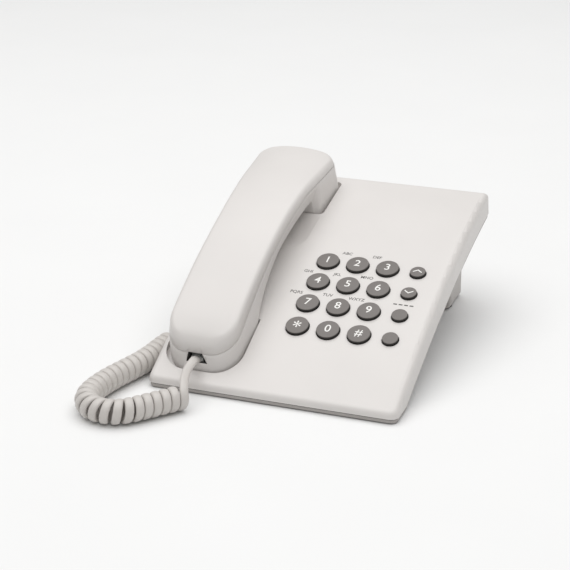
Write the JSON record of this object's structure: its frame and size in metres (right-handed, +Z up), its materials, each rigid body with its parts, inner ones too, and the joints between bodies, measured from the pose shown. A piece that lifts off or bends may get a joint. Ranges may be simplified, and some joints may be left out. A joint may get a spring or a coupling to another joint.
{
  "type": "corded landline phone",
  "caption": "Corded desk telephone: arched wedge base with a round-key dial pad, a handset resting in a cradle on the left, a rear wall stand and a curly handset cord.",
  "frame": {"origin": "middle of the phone's footprint, on the surface it stands on", "axes": "+X to the right of someone facing the keypad, +Y to the raised back edge, +Z up"},
  "size_m": [0.1772, 0.2576, 0.0964],
  "materials": {
    "case_plastic": "fine satin moulded plastic, warm light grey",
    "key_plastic": "satin mid grey plastic with pale printed characters",
    "membrane_rubber": "matt silicone rubber",
    "board_laminate": "paper laminate circuit board",
    "screw_steel": "zinc plated steel",
    "foot_rubber": "matt black rubber",
    "jack_plastic": "dark grey moulded plastic",
    "switch_plastic": "black moulded plastic",
    "slider_plastic": "light grey moulded plastic",
    "diaphragm_brass": "thin brass disc",
    "capsule_metal": "plain aluminium can",
    "weight_steel": "plain iron bar",
    "clear_plastic": "clear polycarbonate",
    "cord_plastic": "soft satin vinyl jacket, warm light grey"
  },
  "bodies": {
    "base": {"upper_case": "case_plastic", "lower_case": "case_plastic", "wall_stand": "case_plastic", "rubber_feet": "foot_rubber", "keypad_membrane": "membrane_rubber", "main_board": "board_laminate", "board_screws": "screw_steel", "case_screws": "screw_steel", "line_jack": "jack_plastic", "ringer_switch_body": "switch_plastic", "dial_mode_switch_body": "switch_plastic", "hook_switch": "switch_plastic", "hanger_tab": "case_plastic", "ringer_buzzer": "switch_plastic", "ringer_diaphragm": "diaphragm_brass", "base_jack": "jack_plastic", "base_plug": "clear_plastic", "cord_coil": "cord_plastic", "cord_handset_tail": "cord_plastic", "cord_base_tail": "cord_plastic"},
    "handset": {"handset_outer_shell": "case_plastic", "handset_inner_shell": "case_plastic", "receiver_gasket": "foot_rubber", "receiver_capsule": "capsule_metal", "microphone_boot": "foot_rubber", "microphone": "capsule_metal", "balance_weight": "weight_steel", "handset_jack": "jack_plastic", "handset_plug": "clear_plastic", "handset_screw": "screw_steel"},
    "plunger": {"hook_plunger": "slider_plastic"},
    "ringer_slider": {"ringer_switch_slider": "slider_plastic"},
    "mode_slider": {"dial_mode_switch_slider": "slider_plastic"},
    "key_1_cap": {"key_1": "key_plastic"},
    "key_2_cap": {"key_2": "key_plastic"},
    "key_3_cap": {"key_3": "key_plastic"},
    "key_volume_up_cap": {"key_volume_up": "key_plastic"},
    "key_4_cap": {"key_4": "key_plastic"},
    "key_5_cap": {"key_5": "key_plastic"},
    "key_6_cap": {"key_6": "key_plastic"},
    "key_volume_down_cap": {"key_volume_down": "key_plastic"},
    "key_7_cap": {"key_7": "key_plastic"},
    "key_8_cap": {"key_8": "key_plastic"},
    "key_9_cap": {"key_9": "key_plastic"},
    "key_flash_cap": {"key_flash": "key_plastic"},
    "key_star_cap": {"key_star": "key_plastic"},
    "key_0_cap": {"key_0": "key_plastic"},
    "key_hash_cap": {"key_hash": "key_plastic"},
    "key_redial_cap": {"key_redial": "key_plastic"}
  },
  "joints": [
    {"name": "handset_lift", "type": "slide", "parent": "base", "child": "handset", "axis": [0, 0, 1], "range_m": [0, 0.07]},
    {"name": "hook_travel", "type": "slide", "parent": "base", "child": "plunger", "axis": [0, -0.223, 0.9748], "range_m": [0, 0.004]},
    {"name": "ringer_select", "type": "slide", "parent": "base", "child": "ringer_slider", "axis": [1, 0, 0], "range_m": [0, 0.004]},
    {"name": "mode_select", "type": "slide", "parent": "base", "child": "mode_slider", "axis": [1, 0, 0], "range_m": [0, 0.004]},
    {"name": "key_1_press", "type": "slide", "parent": "base", "child": "key_1_cap", "axis": [0, 0.3053, -0.9523], "range_m": [0, 0.0015], "stiffness_N_per_m": 600, "springref_m": -0.0004},
    {"name": "key_2_press", "type": "slide", "parent": "base", "child": "key_2_cap", "axis": [0, 0.3053, -0.9523], "range_m": [0, 0.0015], "stiffness_N_per_m": 600, "springref_m": -0.0004},
    {"name": "key_3_press", "type": "slide", "parent": "base", "child": "key_3_cap", "axis": [0, 0.3053, -0.9523], "range_m": [0, 0.0015], "stiffness_N_per_m": 600, "springref_m": -0.0004},
    {"name": "key_volume_up_press", "type": "slide", "parent": "base", "child": "key_volume_up_cap", "axis": [0, 0.3053, -0.9523], "range_m": [0, 0.0015], "stiffness_N_per_m": 600, "springref_m": -0.0004},
    {"name": "key_4_press", "type": "slide", "parent": "base", "child": "key_4_cap", "axis": [0, 0.3317, -0.9434], "range_m": [0, 0.0015], "stiffness_N_per_m": 600, "springref_m": -0.0004},
    {"name": "key_5_press", "type": "slide", "parent": "base", "child": "key_5_cap", "axis": [0, 0.3317, -0.9434], "range_m": [0, 0.0015], "stiffness_N_per_m": 600, "springref_m": -0.0004},
    {"name": "key_6_press", "type": "slide", "parent": "base", "child": "key_6_cap", "axis": [0, 0.3317, -0.9434], "range_m": [0, 0.0015], "stiffness_N_per_m": 600, "springref_m": -0.0004},
    {"name": "key_volume_down_press", "type": "slide", "parent": "base", "child": "key_volume_down_cap", "axis": [0, 0.3317, -0.9434], "range_m": [0, 0.0015], "stiffness_N_per_m": 600, "springref_m": -0.0004},
    {"name": "key_7_press", "type": "slide", "parent": "base", "child": "key_7_cap", "axis": [0, 0.3578, -0.9338], "range_m": [0, 0.0015], "stiffness_N_per_m": 600, "springref_m": -0.0004},
    {"name": "key_8_press", "type": "slide", "parent": "base", "child": "key_8_cap", "axis": [0, 0.3578, -0.9338], "range_m": [0, 0.0015], "stiffness_N_per_m": 600, "springref_m": -0.0004},
    {"name": "key_9_press", "type": "slide", "parent": "base", "child": "key_9_cap", "axis": [0, 0.3578, -0.9338], "range_m": [0, 0.0015], "stiffness_N_per_m": 600, "springref_m": -0.0004},
    {"name": "key_flash_press", "type": "slide", "parent": "base", "child": "key_flash_cap", "axis": [0, 0.3578, -0.9338], "range_m": [0, 0.0015], "stiffness_N_per_m": 600, "springref_m": -0.0004},
    {"name": "key_star_press", "type": "slide", "parent": "base", "child": "key_star_cap", "axis": [0, 0.3837, -0.9235], "range_m": [0, 0.0015], "stiffness_N_per_m": 600, "springref_m": -0.0004},
    {"name": "key_0_press", "type": "slide", "parent": "base", "child": "key_0_cap", "axis": [0, 0.3837, -0.9235], "range_m": [0, 0.0015], "stiffness_N_per_m": 600, "springref_m": -0.0004},
    {"name": "key_hash_press", "type": "slide", "parent": "base", "child": "key_hash_cap", "axis": [0, 0.3837, -0.9235], "range_m": [0, 0.0015], "stiffness_N_per_m": 600, "springref_m": -0.0004},
    {"name": "key_redial_press", "type": "slide", "parent": "base", "child": "key_redial_cap", "axis": [0, 0.3837, -0.9235], "range_m": [0, 0.0015], "stiffness_N_per_m": 600, "springref_m": -0.0004}
  ],
  "couplings": [
    {"joint": "hook_travel", "follows": "handset_lift", "ratio": 0.05714}
  ]
}
